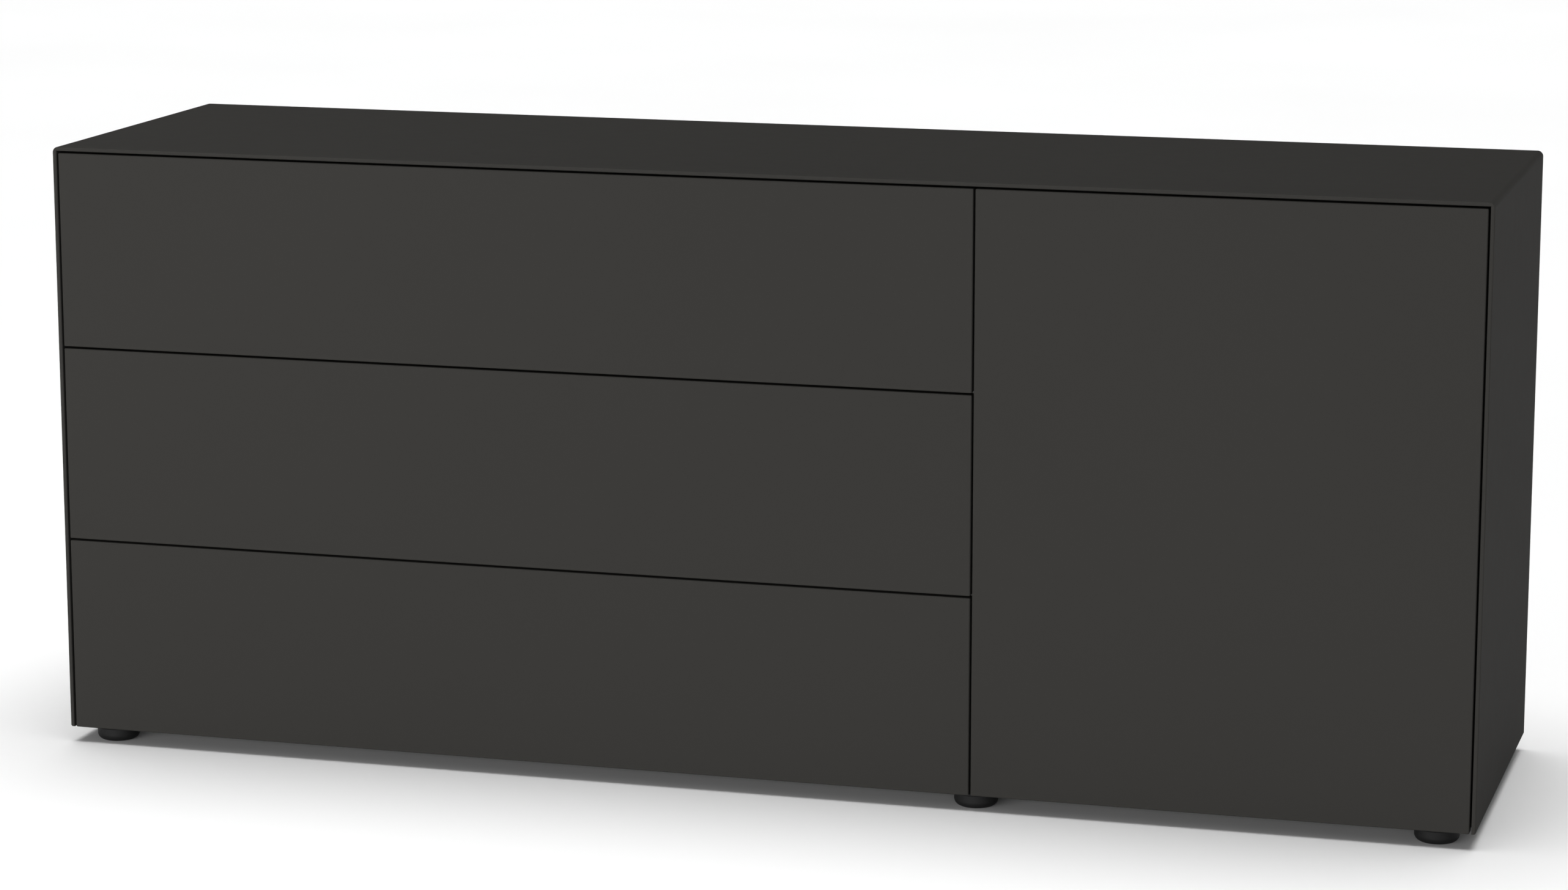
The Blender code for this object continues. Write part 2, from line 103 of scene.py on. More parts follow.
DIVIDER_SCREW_INSET = 0.06  # from the back panel's upper and lower ends
WEDGE_SIZE = Vector((0.024, 0.016, 0.0055))  # along the board, across it, height off the panel
WEDGE_INSET = 0.20  # from the back panel's end, and from the divider
WEDGE_ROUND, WEDGE_RIM = 0.006, 0.0006
WEDGE_TAPER = 0.75  # height at the tip, as a share
WEDGE_SEAT = 0.55  # height of the screw's seat, as a share

BOX_SCREW_INSET = 0.03
CAM_SETBACK = 0.034  # behind the box side's front end
CAM_ABOVE, CAM_BELOW = 0.045, 0.030  # lower cam above the lower edge, upper cam below the upper one
SLIDE_STEEL = 0.0012
SLIDE_SCREW_FRONT, SLIDE_SCREW_REAR = 0.035, 0.06  # from the slide's ends

WING_TUCK, WING_REACH = 0.004, 0.011  # in under the cup's rim, and out beyond it
WING_FROM, WING_TO = -0.0075, 0.0035  # edges of the wing, from the cup's centre
WING_STEEL = 0.0011
WING_ROUND = 0.003
WING_SCREW = Vector((-0.002, 0.0045))  # across from the cup's centre, and out beyond the rim

PLATE_SETBACK = 0.030  # ahead of the arm's rear end
PLATE_HALF = 0.008
PLATE_REACH = 0.019  # above and below the arm
PLATE_STEEL = 0.0022
PLATE_ROUND = 0.007
PLATE_SCREW = 0.011  # above and below the arm
ARM_RIDGE = 0.009  # from the side panel to the top of the arm's ridge

LATCH_SETBACK = 0.030  # behind the tube's front end
LATCH_FLANGE = Vector((0.0115, 0.022, 0.0022))
LATCH_TUCK = 0.0013  # how far a flange reaches in over the tube's round side
LATCH_ROUND = 0.9  # corner radius, as a share of half the flange's reach

FOOT_BOWL = 0.0085  # radius of the rounding underneath
FOOT_RIM = 0.0008
FOOT_GROOVE, FOOT_GROOVE_DROP = 0.0006, 0.0030  # depth, and distance below the top
FOOT_PAD, FOOT_PAD_EDGE = 0.012, 0.0008  # hollow underneath: radius, and depth of its slanted edge

# ---------------------------------------------------------------- tones, light and camera
LACQUER = (0.0243, 0.0235, 0.0219)
INNER_BOARD = (0.060, 0.058, 0.055)
DRAWER_BOARD = (0.135, 0.130, 0.124)
ZINC = (0.62, 0.63, 0.64)
NICKEL = (0.68, 0.67, 0.66)
BLACK_PLASTIC = (0.0070, 0.0070, 0.0070)
GREY_PLASTIC = (0.24, 0.24, 0.24)
NOISE_LOW, NOISE_HIGH = 0.3, 0.7  # nearly all of a noise lies between these

# How dense the grain is along X, Y and Z: low along the way that it runs.
ALONG_X, ALONG_Y, ALONG_Z = (0.12, 1.0, 1.0), (1.0, 0.12, 1.0), (1.0, 1.0, 0.2)
ROLLED_ALONG_Y = (1.0, 0.06, 1.0)

FLOOR_HALF = 60.0
FLOOR_TONES = ((0.90, 0.90, 0.90), (0.92, 0.92, 0.92))

# Brightness of the surroundings, and between which values of height or of the cosine it changes.
HORIZON_LIGHT, WALL_LIGHT, CEILING_LIGHT = 1.06, 0.20, 6.1
HORIZON_EDGE = (0.05, 0.14)
CEILING_EDGE = (0.88, 0.96)
CEILING_CENTRE = Vector((-0.02, 0.04, 1.0)).normalized()

# Softboxes: place, the point that it faces, width and height, and radiance.
FRONT_SOFTBOX = ((-1.6, -3.8, 0.50), (0.0, 0.0, 0.25), (8.0, 0.9), 5.3)
LOW_FILL = ((-0.8, -4.6, 0.75), (0.0, 0.0, 0.35), (7.0, 1.4), 4.0)
LEFT_SOFTBOX = ((-3.2, -0.6, 1.8), (-0.6, 0.0, 0.7), (2.0, 1.2), 6.0)
SIDE_SOFTBOX = ((5.0, -3.5, 1.9), (0.9, 0.0, 0.4), (4.0, 2.0), 2.8)
REAR_SOFTBOX = ((-2.0, 5.0, 0.34), (0.0, 0.0, 0.34), (6.0, 0.6), 6.0)

CAMERA_PLACE = (1.5012, -5.2620, 1.4768)
CAMERA_YAW, CAMERA_PITCH = math.radians(16.072), math.radians(11.207)  # to the left, downwards
CAMERA_LENS = 101.2

# ---------------------------------------------------------------- read from the CAD frame
top_low, top_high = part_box("top_panel")
case_low = Vector((cad_low.x, cad_low.y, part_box("left_side_panel")[0].z))
case_high = cad_high.copy()
SHOULDER = case_low.y + RECESS_DEPTH  # where the full thickness of top and sides begins
INNER_X = case_high.x - (top_high.z - top_low.z)  # inner face of the right side


# ---------------------------------------------------------------- node helpers
def new_material(name):
    """A node material and its Principled shader."""
    mat = bpy.data.materials.new(name)
    mat.use_nodes = True
    return mat, mat.node_tree.nodes["Principled BSDF"]


def link(mat, source, target):
    mat.node_tree.links.new(source, target)


def object_noise(mat, scale, detail, stretch=(1.0, 1.0, 1.0)):
    """Noise fixed to the piece itself; the scale is in features per metre."""
    place = mat.node_tree.nodes.new("ShaderNodeTexCoord")
    mapping = mat.node_tree.nodes.new("ShaderNodeMapping")
    mapping.inputs["Scale"].default_value = stretch
    noise = mat.node_tree.nodes.new("ShaderNodeTexNoise")
    noise.inputs["Scale"].default_value = scale
    noise.inputs["Detail"].default_value = detail
    link(mat, place.outputs["Object"], mapping.inputs["Vector"])
    link(mat, mapping.outputs["Vector"], noise.inputs["Vector"])
    return noise.outputs["Fac"]


def remap(mat, value, low, high):
    """Spreads the middle of a noise between two numbers."""
    made = mat.node_tree.nodes.new("ShaderNodeMapRange")
    made.inputs["From Min"].default_value = NOISE_LOW
    made.inputs["From Max"].default_value = NOISE_HIGH
    made.inputs["To Min"].default_value = low
    made.inputs["To Max"].default_value = high
    link(mat, value, made.inputs["Value"])
    return made.outputs["Result"]


def colour_between(mat, value, dark, light):
    """A colour that drifts between two tones."""
    ramp = mat.node_tree.nodes.new("ShaderNodeValToRGB")
    ramp.color_ramp.elements[0].position = NOISE_LOW
    ramp.color_ramp.elements[0].color = (*dark, 1.0)
    ramp.color_ramp.elements[1].position = NOISE_HIGH
    ramp.color_ramp.elements[1].color = (*light, 1.0)
    link(mat, value, ramp.inputs["Fac"])
    return ramp.outputs["Color"]


def add_bump(mat, shader, height, strength, distance):
    bump = mat.node_tree.nodes.new("ShaderNodeBump")
    bump.inputs["Strength"].default_value = strength
    bump.inputs["Distance"].default_value = distance
    link(mat, height, bump.inputs["Height"])
    link(mat, bump.outputs["Normal"], shader.inputs["Normal"])


def scaled(colour, share):
    return tuple(c * share for c in colour)


# ---------------------------------------------------------------- materials
def make_lacquer():
    """Super-matte lacquer: a soft drift in tone, a faint spray mottle and a fine pebbled skin."""
    mat, shader = new_material("matte_lacquer")
    drift = object_noise(mat, scale=1.6, detail=1.0)
    tone = colour_between(mat, drift, scaled(LACQUER, 0.985), scaled(LACQUER, 1.015))
    link(mat, tone, shader.inputs["Base Color"])
    mottle = object_noise(mat, scale=45.0, detail=3.0)
    link(mat, remap(mat, mottle, 0.65, 0.67), shader.inputs["Roughness"])
    pebbles = object_noise(mat, scale=1400.0, detail=2.0)
    add_bump(mat, shader, pebbles, strength=0.02, distance=0.0002)
    shader.inputs["Specular IOR Level"].default_value = 0.01
    return mat


def make_board(name, colour, grain):
    """Melamine board: a low, fine emboss that runs along the board."""
    mat, shader = new_material(name)
    pores = object_noise(mat, scale=260.0, detail=3.0, stretch=grain)
    tone = colour_between(mat, pores, scaled(colour, 0.93), scaled(colour, 1.06))
    link(mat, tone, shader.inputs["Base Color"])
    link(mat, remap(mat, pores, 0.48, 0.60), shader.inputs["Roughness"])
    add_bump(mat, shader, pores, strength=0.12, distance=0.0003)
    shader.inputs["Specular IOR Level"].default_value = 0.25
    return mat


def make_steel(name, colour, roughness, grain):
    """Plated steel with the faint streaks of rolling."""
    mat, shader = new_material(name)
    streaks = object_noise(mat, scale=220.0, detail=3.0, stretch=grain)
    tone = colour_between(mat, streaks, scaled(colour, 0.90), colour)
    link(mat, tone, shader.inputs["Base Color"])
    gloss = remap(mat, streaks, roughness - 0.06, roughness + 0.08)
    link(mat, gloss, shader.inputs["Roughness"])
    add_bump(mat, shader, streaks, strength=0.05, distance=0.0001)
    shader.inputs["Metallic"].default_value = 1.0
    return mat


def make_plastic(name, colour, roughness, specular):
    """Moulded plastic with a fine spark-eroded texture."""
    mat, shader = new_material(name)
    drift = object_noise(mat, scale=90.0, detail=2.0)
    tone = colour_between(mat, drift, scaled(colour, 0.9), scaled(colour, 1.1))
    link(mat, tone, shader.inputs["Base Color"])
    texture = object_noise(mat, scale=2200.0, detail=2.0)
    gloss = remap(mat, texture, roughness - 0.05, roughness + 0.05)
    link(mat, gloss, shader.inputs["Roughness"])
    add_bump(mat, shader, texture, strength=0.25, distance=0.0003)
    shader.inputs["Specular IOR Level"].default_value = specular
    return mat


MATERIALS = {
    "lacquer": make_lacquer(),
    "inner_board": make_board("inner_board", INNER_BOARD, ALONG_X),
    "drawer_board": make_board("drawer_board", DRAWER_BOARD, ALONG_Y),
    "slide_steel": make_steel("zinc_steel", ZINC, 0.34, ROLLED_ALONG_Y),
    "hinge_steel": make_steel("nickel_steel", NICKEL, 0.32, ALONG_Z),
    "foot_plastic": make_plastic("black_plastic", BLACK_PLASTIC, 0.55, 0.12),
    "latch_plastic": make_plastic("grey_plastic", GREY_PLASTIC, 0.45, 0.25),
}


# ---------------------------------------------------------------- forms
def spread(start, end, count):
    """Equal steps from start to end, both included."""
    return [start + (end - start) * i / (count - 1) for i in range(count)]


def block(low, high):
    bm = bmesh.new()
    bmesh.ops.create_cube(bm, size=1.0)
    low, high = Vector(low), Vector(high)
    bmesh.ops.scale(bm, vec=high - low, verts=bm.verts)
    bmesh.ops.translate(bm, vec=(low + high) / 2, verts=bm.verts)
    return bm


def edges_along(bm, axis):
    """The edges whose two ends differ along one axis."""
    return [e for e in bm.edges if abs(e.verts[0].co[axis] - e.verts[1].co[axis]) > NEAR]


def edges_at(bm, axis, value):
    """The edges with both ends at one value of an axis."""
    return [e for e in bm.edges if all(abs(v.co[axis] - value) < NEAR for v in e.verts)]


def round_edges(bm, edges, radius, segments):
    bmesh.ops.bevel(bm, geom=edges, offset=radius, segments=segments, profile=0.5, affect="EDGES")


def rounded_board(low, high, radius, segments):
    bm = block(low, high)
    round_edges(bm, bm.edges[:], radius, segments)
    return bm


def arc(centre, radius, start_deg, end_deg, steps):
    """Points along an arc, both ends included."""
    turns = [math.radians(t) for t in spread(start_deg, end_deg, steps + 1)]
    return [(centre[0] + radius * math.cos(t), centre[1] + radius * math.sin(t)) for t in turns]


def turned(profile, centre, axis, sides):
    """A closed turned form: (radius, along) points between two points on the axis."""
    place = {
        X: lambda r, t, h: (h, r * math.cos(t), r * math.sin(t)),
        Y: lambda r, t, h: (r * math.cos(t), h, r * math.sin(t)),
        Z: lambda r, t, h: (r * math.cos(t), r * math.sin(t), h),
    }[axis]
    turns = [2 * math.pi * i / sides for i in range(sides)]
    bm = bmesh.new()
    rings = []
    for radius, along in profile:
        if radius == 0:
            rings.append([bm.verts.new(place(0, 0, along))] * sides)
        else:
            rings.append([bm.verts.new(place(radius, t, along)) for t in turns])
    for upper, lower in zip(rings, rings[1:]):
        for i in range(sides):
            j = (i + 1) % sides
            bm.faces.new(dict.fromkeys((upper[i], upper[j], lower[j], lower[i])))
    bmesh.ops.translate(bm, vec=centre, verts=bm.verts)
    return bm


def cut_away(bm, cutters):
    """The form with each cutter's shape taken out of it; the cutters are used up."""
    made = []
    for i, shape in enumerate([bm, *cutters]):
        bmesh.ops.recalc_face_normals(shape, faces=shape.faces)
        mesh = bpy.data.meshes.new(f"cut_{i}")
        shape.to_mesh(mesh)
        shape.free()
        obj = bpy.data.objects.new(f"cut_{i}", mesh)
        bpy.context.collection.objects.link(obj)
        made.append(obj)
    body = made[0]
    for cutter in made[1:]:
        boolean = body.modifiers.new("cut", "BOOLEAN")
        boolean.operation = "DIFFERENCE"
        boolean.solver = "EXACT"
        boolean.object = cutter
    evaluated = body.evaluated_get(bpy.context.evaluated_depsgraph_get())
    result = bmesh.new()
    result.from_mesh(evaluated.to_mesh())
    evaluated.to_mesh_clear()
    for obj in made:
        mesh = obj.data
        bpy.data.objects.remove(obj)
        bpy.data.meshes.remove(mesh)
    return result


def sliced(bm, planes):
    """Cuts at each plane, keeps the side that its normal points away from, and closes the form."""
    for point, normal in planes:
        everything = bm.verts[:] + bm.edges[:] + bm.faces[:]
        bmesh.ops.bisect_plane(
            bm, geom=everything, plane_co=point, plane_no=normal, clear_outer=True
        )
        bmesh.ops.holes_fill(bm, edges=[e for e in bm.edges if e.is_boundary], sides=0)
    return bm


def repeated(bm, places):
    """One form with a copy of the shape at each place."""
    mesh = bpy.data.meshes.new("repeated")
    bm.to_mesh(mesh)
    bm.free()
    whole = bmesh.new()
    for place in places:
        before = len(whole.verts)
        whole.from_mesh(mesh)
        whole.verts.ensure_lookup_table()
        bmesh.ops.transform(whole, matrix=place, verts=whole.verts[before:])
    bpy.data.meshes.remove(mesh)
    return whole


def standing_on(point, direction):
    """The place of a form made along +Z, stood on a point and turned to face a direction."""
    turn = Vector(direction).to_track_quat("Z", "Y").to_matrix().to_4x4()
    return Matrix.Translation(point) @ turn


def outer_and_inner(low, high, inward):
    """The X of a standing board's two faces: the one away from the middle, and the other."""
    return (low.x, high.x) if inward > 0 else (high.x, low.x)


def flange_form(low, high, thickness, outward, far, radius):
    """A thin plate: round corners at its far end, a fine bevel round the lower face."""
    bm = block(low, high)
    corners = [e for e in edges_along(bm, thickness) if abs(e.verts[0].co[outward] - far) < NEAR]
    round_edges(bm, corners, radius, segments=6)
    round_edges(bm, edges_at(bm, thickness, low[thickness]), FITTING_BEVEL, segments=2)
    return bm


def screw_head(radius, height):
    """A low pan head with a cross recess, standing on the XY plane."""
    rim, dome = height * 0.35, height * 0.65
    crown = arc((radius - dome, rim), dome, start_deg=15, end_deg=90, steps=5)
    profile = [(0, 0), (radius, 0), (radius, rim), *crown, (0, height)]
    bar = Vector((radius * 0.13, radius * 0.55, 0))
    crossing = Vector((bar.y, bar.x, 0))
    floor, above = Vector((0, 0, height * 0.45)), Vector((0, 0, height * 2))
    cutters = [block(floor - half, above + half) for half in (bar, crossing)]
    return cut_away(turned(profile, (0, 0, 0), Z, SMALL_ROUND), cutters)


# ---------------------------------------------------------------- pieces
def mesh_piece(name, bm, body, slot, replaced=()):
    """A smooth-shaded piece on one body, with its material and the CAD nodes that it stands for.

    Its large flat faces keep their own normals.
    """
    bmesh.ops.recalc_face_normals(bm, faces=bm.faces)
    mesh = bpy.data.meshes.new(name)
    bm.to_mesh(mesh)
    bm.free()
    mesh.shade_smooth()
    mesh.set_sharp_from_angle(angle=SHARP)
    mesh.materials.append(MATERIALS[slot])
    obj = bpy.data.objects.new(name, mesh)
    bpy.context.collection.objects.link(obj)
    weighted = obj.modifiers.new("flat_faces", "WEIGHTED_NORMAL")
    weighted.keep_sharp = True
    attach(obj, body)
    if replaced:
        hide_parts(*replaced)


def add_screws(name, points, direction, body, head=PLAIN_HEAD):
    """A row of equal screws, joined into one piece."""
    places = [standing_on(point, direction) for point in points]
    mesh_piece(name, repeated(screw_head(*head), places), body, "slide_steel")


# ---------------------------------------------------------------- the case
def case_form():
    """The whole outside of the case as one block, with every outer edge softly rounded."""
    bm = block(case_low, case_high)
    upper = [e for e in edges_along(bm, Y) if e.verts[0].co.z > case_high.z - NEAR]
    round_edges(bm, upper, CORNER_RADIUS, segments=10)
    lower = [e for e in edges_along(bm, Y) if e.verts[0].co.z < case_low.z + NEAR]
    round_edges(bm, lower, LOWER_RADIUS, segments=5)
    front, rear = edges_at(bm, Y, case_low.y), edges_at(bm, Y, case_high.y)
    round_edges(bm, front, FRONT_RADIUS, segments=4)
    round_edges(bm, rear, REAR_RADIUS, segments=3)
    return bm


def mitre(side, outward):
    """The 45 degree plane through a top corner, half a hairline back."""
    corner = Vector((side * case_high.x, 0, case_high.z))
    normal = Vector((side, 0, -1)).normalized() * outward
    return corner - normal * MITRE_GAP / 2, normal


def soften_lip(bm):
    """Rounds the inner edge of the thin front lip."""
    inner_x, inner_z = case_high.x - LIP, case_high.z - LIP
    edges = []
    for e in edges_at(bm, Y, case_low.y):
        on_x = all(abs(abs(v.co.x) - inner_x) < NEAR for v in e.verts)
        on_z = all(abs(v.co.z - inner_z) < NEAR for v in e.verts)
        if on_x or on_z:
            edges.append(e)
    round_edges(bm, edges, FRONT_RADIUS, segments=4)
    return bm


def shelf_holes(side):
    """Cutters for two rows of shelf-pin holes in one wall of the space behind the door."""
    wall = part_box("centre_partition")[1].x if side == "left" else INNER_X
    edge = ((HOLE_RADIUS, -HOLE_DEPTH), (HOLE_RADIUS, HOLE_DEPTH))
    profile = ((0, -HOLE_DEPTH), *edge, (0, HOLE_DEPTH))
    cutters = []
    for row in ("front", "rear"):
        low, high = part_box(f"shelf_pin_{row}_{side}")
        centre = (low + high) / 2
        for i in range(-HOLES_EACH_WAY, HOLES_EACH_WAY + 1):
            place = (wall, centre.y, centre.z + i * HOLE_PITCH)
            cutters.append(turned(profile, place, X, SMALL_ROUND))
    return cutters


def build_case_shell():
    """Top and sides cut from one rounded form: mitred, hollowed out and thinned at the front."""
    planes = {
        "top_panel": [((0, 0, top_low.z), (0, 0, -1)), mitre(-1, 1), mitre(1, 1)],
        "left_side_panel": [((-INNER_X, 0, 0), (1, 0, 0)), mitre(-1, -1)],
        "right_side_panel": [((INNER_X, 0, 0), (-1, 0, 0)), mitre(1, -1)],
    }
    recess_low = (-case_high.x + LIP, case_low.y - OVERCUT, 0)
    recess_high = (case_high.x - LIP, SHOULDER, case_high.z - LIP)
    for name, cuts in planes.items():
        cutters = [block(recess_low, recess_high)]
        if name == "right_side_panel":
            cutters += shelf_holes("right")
        bm = cut_away(sliced(case_form(), cuts), cutters)
        mesh_piece(f"{name}_lacquered", soften_lip(bm), CASE, "lacquer", (name,))


def build_carcass():
    """Edged inner boards: the divider bored for the shelf, the bottom notched for the door."""
    low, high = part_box("centre_partition")
    divider = cut_away(rounded_board(low, high, BOARD_RADIUS, segments=3), shelf_holes("left"))
    mesh_piece("centre_partition_edged", divider, CASE, "inner_board", ("centre_partition",))
    low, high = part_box("bottom_panel")
    notch = block((INNER_X - HINGE_NOTCH, case_low.y, 0), (case_high.x, SHOULDER, case_high.z))
    bottom = cut_away(rounded_board(low, high, BOARD_RADIUS, segments=3), [notch])
    mesh_piece("bottom_panel_edged", bottom, CASE, "inner_board", ("bottom_panel",))
    low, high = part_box("shelf")
    shelf = rounded_board(low, high, BOARD_RADIUS, segments=3)
    mesh_piece("shelf_edged", shelf, CASE, "inner_board", ("shelf",))
    low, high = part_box("back_panel")
    back = rounded_board(low, high, BASE_RADIUS, segments=2)
    mesh_piece("back_panel_cut", back, CASE, "inner_board", ("back_panel",))


def wedge_form():
    """A moulded block: straight along the board, rounded towards the panel, lower at its tip."""
    half_x, half_z = WEDGE_SIZE.x / 2, WEDGE_SIZE.y / 2
    bm = block((-half_x, 0, -half_z), (half_x, WEDGE_SIZE.z, half_z))
    tips = [e for e in edges_along(bm, Y) if e.verts[0].co.z > 0]
    round_edges(bm, tips, WEDGE_ROUND, segments=5)
    for v in bm.verts:
        if v.co.y > NEAR and v.co.z > 0:
            v.co.y *= WEDGE_TAPER
    rim = [e for e in bm.edges if all(v.co.y > NEAR for v in e.verts)]
    round_edges(bm, rim, WEDGE_RIM, segments=2)
    return bm


def build_back_fittings():
    """Screws into the divider and moulded wedges that hold the back panel in the case."""
    low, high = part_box("back_panel")
    divider_low, divider_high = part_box("centre_partition")
    divider_x = (divider_low.x + divider_high.x) / 2
    face = high.y
    heights = spread(low.z + DIVIDER_SCREW_INSET, high.z - DIVIDER_SCREW_INSET, count=4)
    add_screws("back_panel_screws", [(divider_x, face, z) for z in heights], (0, 1, 0), CASE)
    in_board = WEDGE_SIZE.y / 2
    left_bay = spread(low.x + WEDGE_INSET, divider_x - WEDGE_INSET, count=3)
    places = []
    for x in (*left_bay, (divider_x + high.x) / 2):
        places.append(((x, face, low.z + in_board), 0))
        places.append(((x, face, high.z - in_board), math.pi))
    middle = (low.z + high.z) / 2
    places.append(((low.x + in_board, face, middle), math.pi / 2))
    places.append(((high.x - in_board, face, middle), -math.pi / 2))
    wedges = [Matrix.Translation(at) @ Matrix.Rotation(turn, 4, "Y") for at, turn in places]
    mesh_piece("back_panel_wedges", repeated(wedge_form(), wedges), CASE, "foot_plastic")
    heads = [(at[0], face + WEDGE_SIZE.z * WEDGE_SEAT, at[2]) for at, turn in places]
    add_screws("back_panel_wedge_screws", heads, (0, 1, 0), CASE, WEDGE_HEAD)


# ---------------------------------------------------------------- drawers
def build_fronts():
    for drawer in DRAWERS:
        low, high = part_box(f"{drawer}_front")
        bm = rounded_board(low, high, FRONT_RADIUS, segments=4)
        mesh_piece(f"{drawer}_front_lacquered", bm, drawer, "lacquer", (f"{drawer}_front",))


def build_drawer_boxes():
    """Edged box boards, the cams that hold box and front together, and screws in the back."""
    for drawer in DRAWERS:
        for part in ("left_side", "right_side", "back", "base"):
            name = f"{drawer}_{part}"
            low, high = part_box(name)
            radius = BASE_RADIUS if part == "base" else BOARD_RADIUS
            board = rounded_board(low, high, radius, segments=3)
            mesh_piece(f"{name}_edged", board, drawer, "drawer_board", (name,))
        add_cams(drawer)
        add_box_screws(drawer)


def add_cams(drawer):
    """Zinc cams in the inner faces of the sides, two near the front on each side."""
    for side, inward in INWARD:
        low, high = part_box(f"{drawer}_{side}_side")
        inner = outer_and_inner(low, high, inward)[1]
        heights = spread(low.z + CAM_ABOVE, high.z - CAM_BELOW, count=2)
        points = [(inner, low.y + CAM_SETBACK, z) for z in heights]
        add_screws(f"{drawer}_{side}_cams", points, (inward, 0, 0), drawer, CAM_HEAD)


def add_box_screws(drawer):
    """Screws through the outer faces of the sides into the ends of the back."""
    back_low, back_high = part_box(f"{drawer}_back")
    y = (back_low.y + back_high.y) / 2
    heights = spread(back_low.z + BOX_SCREW_INSET, back_high.z - BOX_SCREW_INSET, count=2)
    for side, inward in INWARD:
        low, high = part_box(f"{drawer}_{side}_side")
        outer = outer_and_inner(low, high, inward)[0]
        points = [(outer, y, z) for z in heights]
        add_screws(f"{drawer}_{side}_back_screws", points, (-inward, 0, 0), drawer, BOX_HEAD)


def slide_screw_points(low, high, x):
    """Three places along the middle of one slide member."""
    along = spread(low.y + SLIDE_SCREW_FRONT, high.y - SLIDE_SCREW_REAR, count=3)
    return [(x, y, (low.z + high.z) / 2) for y in along]


def build_slide_screws():
    """Screws in the fixed member and the drawer member of every slide."""
    for drawer in DRAWERS:
        for side, inward in INWARD:
            low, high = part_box(f"{drawer}_{side}_cabinet_slide")
            x = outer_and_inner(low, high, inward)[0] + inward * SLIDE_STEEL
            points = slide_screw_points(low, high, x)
            name = f"{drawer}_{side}_cabinet_slide_screws"
            add_screws(name, points, (inward, 0, 0), CASE, CASE_SLIDE_HEAD)
            low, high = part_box(f"{drawer}_{side}_drawer_slide")
            x = outer_and_inner(low, high, inward)[1] - inward * SLIDE_STEEL
            points = slide_screw_points(low, high, x)
            name = f"{drawer}_{side}_drawer_slide_screws"
            add_screws(name, points, (-inward, 0, 0), drawer)


# ---------------------------------------------------------------- door
def build_door():
    """The lacquered door, bored for the hinge cups."""
    low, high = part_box("door_panel")
    cutters = []
    for place in ("lower", "upper"):
        cup_low, cup_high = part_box(f"{place}_hinge_cup")
        centre = (cup_low + cup_high) / 2
        floor, mouth = cup_low.y - CLEAR, high.y + OVERCUT
        profile = ((0, floor), (CUP_BORE, floor), (CUP_BORE, mouth), (0, mouth))
        cutters.append(turned(profile, (centre.x, 0, centre.z), Y, CUP_ROUND))
    bm = cut_away(rounded_board(low, high, FRONT_RADIUS, segments=4), cutters)
    mesh_piece("door_panel_lacquered", bm, DOOR, "lacquer", ("door_panel",))


def build_hinge_fittings():
    for place in ("lower", "upper"):
        build_cup_wings(place)
        build_mounting_plate(place)


def build_cup_wings(place):
    """Screwed wings on the door's inner face, above and below one hinge cup."""
    door_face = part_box("door_panel")[1].y
    cup_low, cup_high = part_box(f"{place}_hinge_cup")
    centre = (cup_low + cup_high) / 2
    rim = (cup_high.z - cup_low.z) / 2
    heads = []
    for i, way in enumerate(PAIR):
        near = centre.z + way * (rim - WING_TUCK)
        far = centre.z + way * (rim + WING_REACH)
        low = (centre.x + WING_FROM, door_face + CLEAR / 2, min(near, far))
        high = (centre.x + WING_TO, door_face + WING_STEEL, max(near, far))
        wing = block(low, high)
        round_edges(wing, edges_along(wing, Y), WING_ROUND, segments=4)
        mesh_piece(f"{place}_hinge_wing_{i}", wing, DOOR, "hinge_steel")
        head_z = centre.z + way * (rim + WING_SCREW.y)
        heads.append((centre.x + WING_SCREW.x, door_face + WING_STEEL, head_z))
    add_screws(f"{place}_hinge_cup_screws", heads, (0, 1, 0), DOOR, CUP_HEAD)


def build_mounting_plate(place):
    """A plate on the side panel: its wings stand above and below the arm's foot."""
    arm_low, arm_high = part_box(f"{place}_hinge_arm")
    middle_y = arm_high.y - PLATE_SETBACK
    centre_z = (arm_low.z + arm_high.z) / 2
    half_arm = (arm_high.z - arm_low.z) / 2
    face = INNER_X - PLATE_STEEL
    heads = []
    for i, way in enumerate(PAIR):
        near = centre_z + way * (half_arm + CLEAR)
        far = centre_z + way * (half_arm + PLATE_REACH)
        low = (face, middle_y - PLATE_HALF, min(near, far))
        high = (INNER_X - CLEAR / 2, middle_y + PLATE_HALF, max(near, far))
        wing = flange_form(low, high, X, Z, far, PLATE_ROUND)
        mesh_piece(f"{place}_hinge_plate_wing_{i}", wing, CASE, "hinge_steel")
        heads.append((face, middle_y, centre_z + way * (half_arm + PLATE_SCREW)))
    add_screws(f"{place}_hinge_plate_screws", heads, (-1, 0, 0), CASE)
    ridge = (arm_high.x - ARM_RIDGE, middle_y, centre_z)
    add_screws(f"{place}_hinge_arm_screw", [ridge], (-1, 0, 0), CASE, ARM_HEAD)


def build_latch_flanges():
    """Screwed flanges that hold the push latch's tube under the top panel."""
    low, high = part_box("push_latch_housing")
    middle_x, side = (low.x + high.x) / 2, (high.x - low.x) / 2
    middle_y = low.y + LATCH_SETBACK
    half = LATCH_FLANGE / 2
    underside = high.z - LATCH_FLANGE.z
    heads = []
    for i, way in enumerate(PAIR):
        near = middle_x + way * (side - LATCH_TUCK)
        far = middle_x + way * (side + LATCH_FLANGE.x)
        flange_low = (min(near, far), middle_y - half.y, underside)
        flange_high = (max(near, far), middle_y + half.y, high.z)
        flange = flange_form(flange_low, flange_high, Z, X, far, half.x * LATCH_ROUND)
        mesh_piece(f"push_latch_flange_{i}", flange, CASE, "latch_plastic")
        heads.append((middle_x + way * (side + half.x), middle_y, underside))
    add_screws("push_latch_flange_screws", heads, (0, 0, -1), CASE, LATCH_HEAD)


